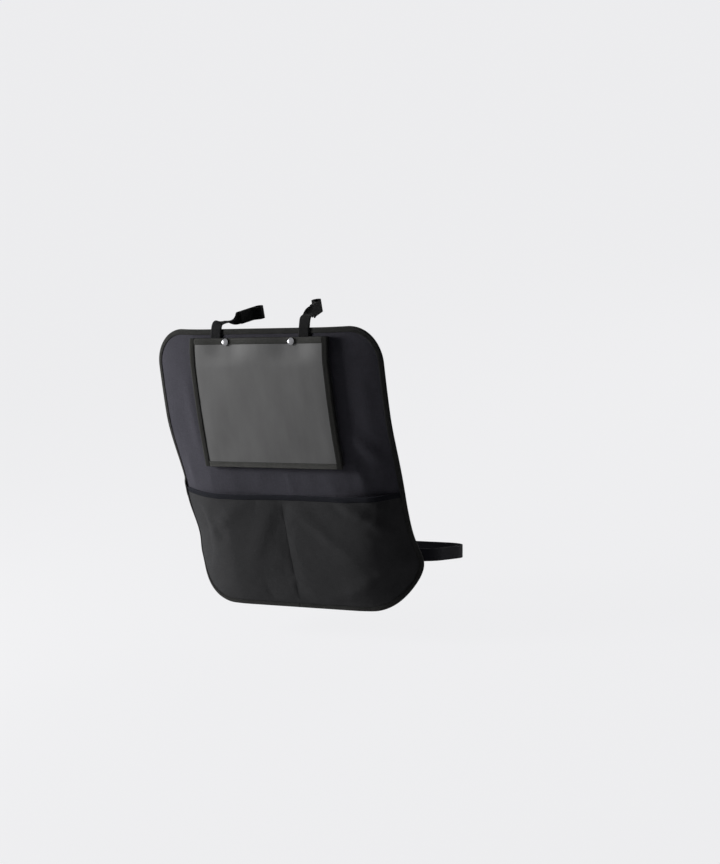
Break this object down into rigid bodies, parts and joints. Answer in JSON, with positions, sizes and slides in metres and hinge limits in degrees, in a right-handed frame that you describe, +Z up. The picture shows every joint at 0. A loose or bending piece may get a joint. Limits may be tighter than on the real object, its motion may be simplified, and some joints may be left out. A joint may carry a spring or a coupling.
{
  "type": "car seat protector",
  "caption": "Fabric mat that hangs on the back of a car seat, with a clear tablet pocket, lower kick pockets, headrest straps and an elastic girdle with a side release buckle",
  "frame": {"origin": "middle of the flat patch on the mat's back face, the face that lies on the seat back, halfway up the mat", "axes": "X across the mat to the right as seen from behind the seat, Y forward into the seat back, Z up along the mat's flat patch"},
  "size_m": [0.5684, 0.2621, 0.6019],
  "materials": {
    "main_cloth": "dark purple grey woven polyester, matt",
    "pocket_cloth": "dark grey woven polyester, matt",
    "binding_tape": "black woven tape, matt",
    "gusset_cloth": "black woven cloth, matt",
    "clear_film": "clear flexible vinyl film, slightly hazy",
    "nickel": "nickel plated, polished",
    "webbing": "black polyester webbing",
    "elastic": "black woven elastic, smooth",
    "hook_tape": "black hook side of hook-and-loop tape",
    "loop_tape": "black loop side of hook-and-loop tape, fuzzy",
    "buckle_plastic": "black acetal, fine matt"
  },
  "bodies": {
    "root": {"back_panel": "main_cloth", "edge_binding": "binding_tape", "kick_pocket": "pocket_cloth", "kick_pocket_binding": "binding_tape", "window_film": "clear_film", "window_top_hem": "binding_tape", "window_left_binding": "binding_tape", "window_right_binding": "binding_tape", "window_foot_binding": "binding_tape", "window_gusset": "gusset_cloth", "snap_cap_left": "nickel", "snap_cap_right": "nickel", "snap_socket_left": "nickel", "snap_socket_right": "nickel", "snap_stud_left": "nickel", "snap_stud_right": "nickel", "snap_post_left": "nickel", "snap_post_right": "nickel", "upper_strap_left": "webbing", "upper_strap_right": "webbing", "strap_hook_patch_left": "hook_tape", "strap_hook_patch_right": "hook_tape", "strap_loop_patch_left": "loop_tape", "strap_loop_patch_right": "loop_tape", "lower_elastic_left": "elastic", "lower_elastic_right": "elastic", "buckle_housing": "buckle_plastic", "buckle_plug": "buckle_plastic"}
  },
  "joints": []
}
